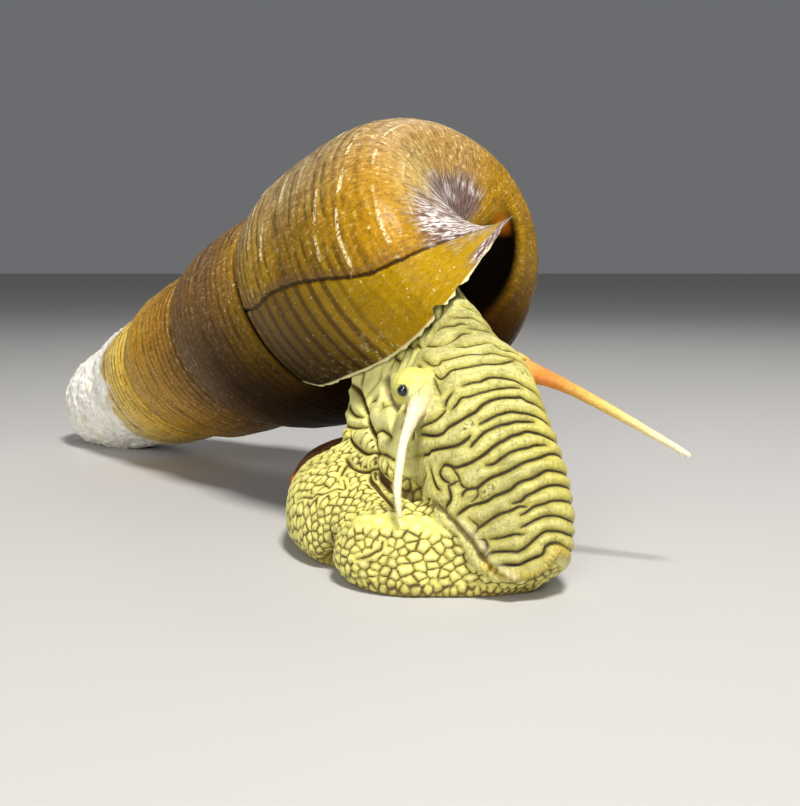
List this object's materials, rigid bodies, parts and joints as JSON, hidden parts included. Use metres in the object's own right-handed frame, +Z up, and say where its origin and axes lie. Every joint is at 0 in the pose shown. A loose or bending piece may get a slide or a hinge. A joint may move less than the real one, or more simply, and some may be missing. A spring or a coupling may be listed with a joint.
{
  "type": "rabbit snail",
  "caption": "Still, life-size crawling freshwater snail with a long, blunt-tipped spiral shell, a ringed snout, tentacles, eyes, a broad foot and an operculum.",
  "frame": {"origin": "on the ground, in the flat sole of the foot, on the foot's middle line near the neck", "axes": "+Z up, -Y the way the foot and the head point, +X to the snail's left; the apex of the shell trails to -X and +Y"},
  "size_m": [0.0586, 0.0709, 0.0325],
  "materials": {
    "shell_coat": "golden brown to dark brown periostracum, half glossy, over a white worn apex",
    "flesh": "moist yellow skin with dark olive furrows",
    "feeler": "moist cream skin, slightly translucent",
    "lips": "moist yellow skin",
    "horn": "dark brown horny plate",
    "eye": "glossy blue black"
  },
  "bodies": {
    "root": {"head": "flesh", "snout": "flesh", "neck": "flesh", "foot_front": "flesh", "foot_tail": "flesh", "shell": "shell_coat", "operculum": "horn", "mouth": "lips", "tentacle_right_base": "feeler", "tentacle_right_tip": "feeler", "tentacle_left_base": "feeler", "tentacle_left_tip": "feeler", "eye_right": "eye", "eye_left": "eye"}
  },
  "joints": []
}
